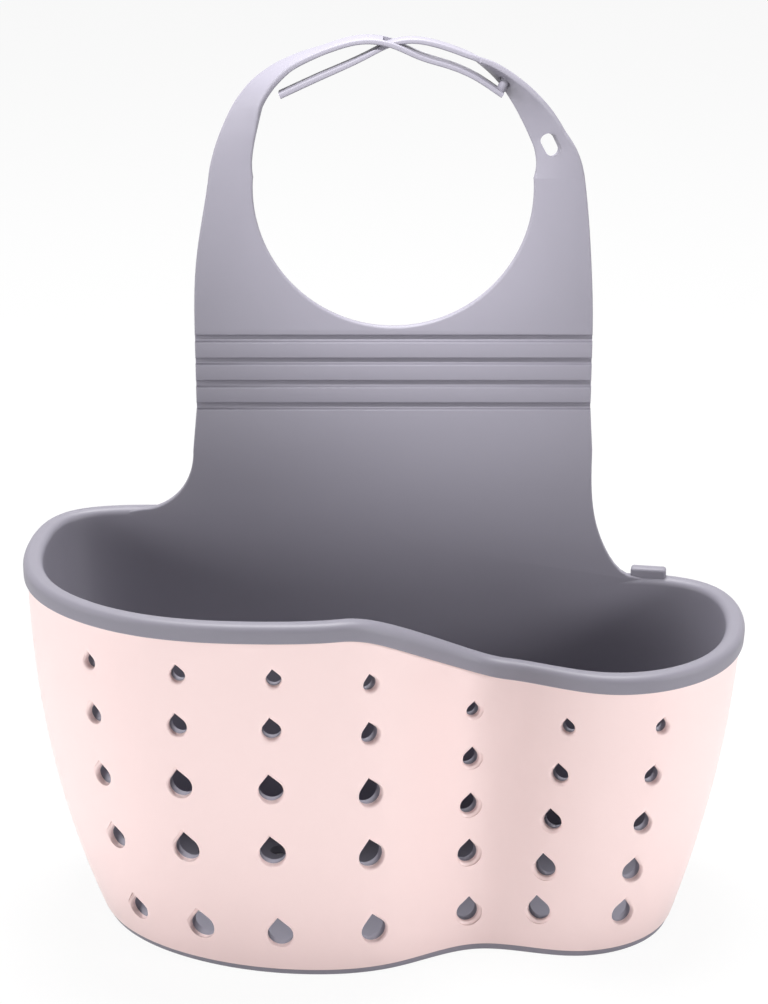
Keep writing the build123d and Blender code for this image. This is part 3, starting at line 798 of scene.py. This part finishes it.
class CADDY_OT_loop(bpy.types.Operator):
    """Loop panel with the faucet opening, both straps, their tails and the stud"""
    bl_idname = "caddy.loop"
    bl_label = "Faucet Loop"

    def execute(self, context):
        self.panel(context.scene.caddy_rubber.edge)
        left_strap, left_bend, left_tail = strap_pieces("Left", LEFT_STATIONS, LEFT_BEND)
        right_strap, right_bend, right_tail = strap_pieces("Right", RIGHT_STATIONS, RIGHT_BEND, SHOULDER_X)
        cut(right_strap, self.stud_bar("Stud_cutter", STUD_RADIUS + STUD_PLAY, STUD_HOLE_LENGTH))
        cut(right_strap, self.arm_hole())
        cut(left_strap, self.eye())
        stud = self.stud_bar("Tail_stud_peg", STUD_RADIUS, STUD_LENGTH, STUD_ROUND, rubber_material())
        replace_on(left_strap, "loop", "rubber_grey", "left_strap")
        replace_on(right_strap, "loop", "rubber_grey", "right_strap")
        replace_on(left_tail, "left_tail", "rubber_grey", "left_tail")
        replace_on(stud, "left_tail", "rubber_grey", "tail_stud")
        replace_on(right_tail, "right_tail", "rubber_grey", "right_tail")
        for bend, body, (x, z, slope), node in ((left_bend, "left_tail", LEFT_BEND, "left_tail_bend"),
                                                (right_bend, "right_tail", RIGHT_BEND, "right_tail_bend")):
            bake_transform(bend)
            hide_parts(node)
        return {"FINISHED"}

    def panel(self, edge):
        """Panel round the opening, up to the roots of both arms. Its edges are sharp where rubber goes on."""
        low = FIRST_GROOVE_Z + GROOVE_WIDTH / 2 + (GROOVES - 1) * GROOVE_PITCH
        right = clamped_spline([(PANEL_RIGHT, low), (PANEL_RIGHT - LOOP_SHOULDER_IN, LOOP_SHOULDER_Z),
                                (RIGHT_ARM_OUTER, ARM_ROOT_Z)], (0, 1), (ARM_HEADING_X, ARM_HEADING_Z))
        left = clamped_spline([(LEFT_ARM_OUTER, ARM_ROOT_Z), (PANEL_LEFT + LOOP_SHOULDER_IN, LOOP_SHOULDER_Z),
                               (PANEL_LEFT, low)], (ARM_HEADING_X, -ARM_HEADING_Z), (0, -1))
        begin = math.asin((ARM_ROOT_Z - OPENING_Z) / OPENING_RADIUS)
        opening = []
        for angle in np.linspace(begin, -math.pi - begin, OPENING_POINTS):
            opening.append((OPENING_X + OPENING_RADIUS * math.cos(angle),
                            OPENING_Z + OPENING_RADIUS * math.sin(angle)))
        outline = [tuple(p) for p in spline_at(right, np.linspace(0, 1, SIDE_POINTS))[0]] + opening
        outline += [tuple(p) for p in spline_at(left, np.linspace(0, 1, SIDE_POINTS))[0]]
        bm = bmesh.new()
        plate_mesh(bm, outline[::-1], PANEL_FRONT, PANEL_BACK)
        chosen = []
        for e in bm.edges:
            at_arms = least(e, Z) > (ARM_ROOT_Z - NEAR / 2) * MM
            at_groove = most(e, Z) < (low + NEAR) * MM and least(e, Y) > (PANEL_BACK - NEAR) * MM
            if lies_flat(e) and not at_arms and not at_groove:
                chosen.append(e)
        round_edges(bm, chosen, edge)
        replace_on(finished("Loop_panel", bm, rubber_material()), "loop", "rubber_grey", "loop_panel")

    def stud_bar(self, name, radius, length, rounding=0.0, material=None):
        """Round bar where the stud is: the stud itself with its ends rounded, or the cutter of its hole."""
        direction = slope_heading(STUD_SLOPE)
        base = Vector((STUD_PLACE[0], PANEL_MIDDLE, STUD_PLACE[1]))
        bm = bmesh.new()
        round_bar(bm, radius, length, bar_place(base, direction, length))
        if rounding:
            rims = [e for e in bm.edges if sorted(len(f.verts) for f in e.link_faces) == [4, ROUND_SIDES]]
            round_edges(bm, rims, rounding * MM)
        return finished(name, bm, material)

    def arm_hole(self):
        """Cutter of the free oblong hole."""
        width, length = ARM_HOLE_SIZE
        tilt = Matrix.Rotation(math.radians(-ARM_HOLE_TILT), 3, "Y")
        turned = tilt @ Matrix.Rotation(math.radians(ARM_HOLE_TWIST), 3, "Z")
        points = []
        for side, begin in ((1, 0), (-1, 180)):
            for step in range(ARM_HOLE_STEPS + 1):
                angle = math.radians(begin + 180 / ARM_HOLE_STEPS * step)
                points.append((width / 2 * math.cos(angle),
                               side * (length - width) / 2 + width / 2 * math.sin(angle)))
        middle = Vector((ARM_HOLE_PLACE[0], PANEL_MIDDLE, ARM_HOLE_PLACE[1]))
        ends = (-ARM_HOLE_REACH, ARM_HOLE_REACH)
        rings = [[middle + turned @ Vector((x, y, z)) for x, z in points] for y in ends]
        bm = bmesh.new()
        ring_mesh(bm, rings, caps=True)
        return finished("Hole_cutter", bm)

    def eye(self):
        """Cutter of the slot that the tongue is threaded through."""
        before, station, after = LEFT_STATIONS[EYE_STATION - 1:EYE_STATION + 2]
        along = Vector((after[0] - before[0], 0, after[1] - before[1])).normalized()
        across = Vector((0, 1, 0))
        up = along.cross(across)
        middle = Vector((station[0], PANEL_MIDDLE, station[1]))
        rings = []
        for height in (-EYE_REACH, EYE_REACH):
            rings.append([middle + along * EYE_LENGTH / 2 * i + across * EYE_WIDTH / 2 * j + up * height
                          for i, j in ((1, 1), (-1, 1), (-1, -1), (1, -1))])
        bm = bmesh.new()
        ring_mesh(bm, rings, caps=True)
        return finished("Eye_cutter", bm)


def white_rays(tree):
    """Output that is 1 for the rays to which the studio is white: seen, mirrored and let through."""
    path = add_node(tree, "ShaderNodeLightPath")
    rays = path.outputs["Is Camera Ray"]
    for kind in ("Is Glossy Ray", "Is Transmission Ray"):
        more = add_node(tree, "ShaderNodeMath", [(0, rays), (1, path.outputs[kind])], operation="MAXIMUM")
        rays = more.outputs[0]
    return rays


def paper_material(name, glow_share):
    """Studio paper that keeps the caddy's shadow. The glow is its share of the studio's white."""
    material = bpy.data.materials.new(name)
    material.use_nodes = True
    tree = material.node_tree
    tree.nodes.clear()
    diffuse = add_node(tree, "ShaderNodeBsdfDiffuse", Color=(*linear("#F4F4F4"), 1))
    glow = add_node(tree, "ShaderNodeEmission", Color=(1, 1, 1, 1), Strength=1.0)
    part = add_node(tree, "ShaderNodeMath", [(0, white_rays(tree))], operation="MULTIPLY")
    part.inputs[1].default_value = glow_share
    mix = add_node(tree, "ShaderNodeMixShader",
                   [("Fac", part.outputs[0]), (1, diffuse.outputs["BSDF"]), (2, glow.outputs["Emission"])])
    add_node(tree, "ShaderNodeOutputMaterial", [("Surface", mix.outputs["Shader"])])
    return material


class CADDY_OT_stage(bpy.types.Operator):
    """White floor, soft lamps and the camera of the photograph"""
    bl_idname = "caddy.stage"
    bl_label = "Stage"

    def execute(self, context):
        scene = context.scene
        self.paper("Studio_floor", "Studio_paper_white", PAPER_HALF, (0, 0, -PAPER_DROP * MM), PAPER_GLOW)
        self.paper("Studio_floor_under_tub", "Studio_paper_in_shade", SHADE_HALF,
                   (0, DRAIN_MIDDLE_Y * MM, -SHADE_DROP * MM), 0.0)
        for name, place, size, power in LAMPS:
            lamp = bpy.data.lights.new(name, "AREA")
            lamp.shape = "DISK"
            lamp.size = size
            lamp.energy = power
            self.stand(scene, lamp, place, LAMP_AIM)
        lamp = bpy.data.lights.new("Loop_lamp", "SPOT")
        lamp.energy = LOOP_LAMP_POWER
        lamp.spot_size = math.radians(LOOP_LAMP_ANGLE)
        lamp.spot_blend = 1.0
        lamp.shadow_soft_size = LOOP_LAMP_SIZE
        self.stand(scene, lamp, LOOP_LAMP_PLACE, LOOP_LAMP_AIM)
        self.studio(scene)
        self.camera(scene)
        scene.view_settings.view_transform = "Standard"
        return {"FINISHED"}

    def paper(self, name, material, half, place, glow_share):
        """Lays a sheet of paper. The small one under the tub has no glow, because the drains show it dark."""
        bm = bmesh.new()
        bmesh.ops.create_grid(bm, x_segments=1, y_segments=1, size=1)
        bmesh.ops.scale(bm, verts=bm.verts, vec=(*half, 1))
        bmesh.ops.translate(bm, verts=bm.verts, vec=place)
        finished(name, bm, paper_material(material, glow_share))

    def stand(self, scene, lamp, place, aim):
        """Stands a lamp at its place, turned to its aim."""
        thing = bpy.data.objects.new(lamp.name, lamp)
        thing.location = place
        thing.rotation_euler = (Vector(aim) - Vector(place)).to_track_quat("-Z", "Y").to_euler()
        scene.collection.objects.link(thing)

    def studio(self, scene):
        """World that is seen white and lights the caddy a little."""
        world = bpy.data.worlds.new("Studio")
        world.use_nodes = True
        tree = world.node_tree
        tree.nodes.clear()
        room = add_node(tree, "ShaderNodeBackground", Color=(1, 1, 1, 1), Strength=ROOM_LIGHT)
        white = add_node(tree, "ShaderNodeBackground", Color=(1, 1, 1, 1), Strength=1.0)
        mix = add_node(tree, "ShaderNodeMixShader",
                       [("Fac", white_rays(tree)), (1, room.outputs[0]), (2, white.outputs[0])])
        add_node(tree, "ShaderNodeOutputWorld", [("Surface", mix.outputs[0])])
        scene.world = world

    def camera(self, scene):
        """Camera of the photograph."""
        settings = scene.caddy_stage
        camera = bpy.data.cameras.new("Camera")
        camera.lens = settings.lens
        camera.sensor_width = SENSOR_WIDTH
        camera.clip_end = CLIP_END
        thing = bpy.data.objects.new("Camera", camera)
        thing.location = (CAMERA_X * MM, PANEL_FRONT * MM - settings.distance, settings.height)
        thing.rotation_euler = (math.pi / 2 - settings.pitch, 0, 0)
        scene.collection.objects.link(thing)
        scene.camera = thing


class CADDY_PT_sidebar(bpy.types.Panel):
    """Buttons that build the caddy piece by piece"""
    bl_idname = "CADDY_PT_sidebar"
    bl_label = "Sink Caddy"
    bl_space_type = "VIEW_3D"
    bl_region_type = "UI"
    bl_category = "Sink Caddy"

    def draw(self, context):
        for operator in OPERATORS:
            self.layout.operator(operator.bl_idname)
        for group in (context.scene.caddy_shell, context.scene.caddy_rubber, context.scene.caddy_stage):
            box = self.layout.box()
            for key in group.__annotations__:
                box.prop(group, key)


OPERATORS = (CADDY_OT_shell, CADDY_OT_tub, CADDY_OT_block, CADDY_OT_panel, CADDY_OT_loop, CADDY_OT_stage)
SETTINGS = {"caddy_shell": ShellSettings, "caddy_rubber": RubberSettings, "caddy_stage": StageSettings}


def register():
    for kind in (*SETTINGS.values(), *OPERATORS, CADDY_PT_sidebar):
        bpy.utils.register_class(kind)
    for name, kind in SETTINGS.items():
        setattr(bpy.types.Scene, name, PointerProperty(type=kind))


def unregister():
    for name in SETTINGS:
        delattr(bpy.types.Scene, name)
    for kind in reversed((*SETTINGS.values(), *OPERATORS, CADDY_PT_sidebar)):
        bpy.utils.unregister_class(kind)


def main():
    register()
    bpy.ops.caddy.shell()
    bpy.ops.caddy.tub()
    bpy.ops.caddy.block()
    bpy.ops.caddy.panel()
    bpy.ops.caddy.loop()
    bpy.ops.caddy.stage()


if __name__ == "__main__":
    main()
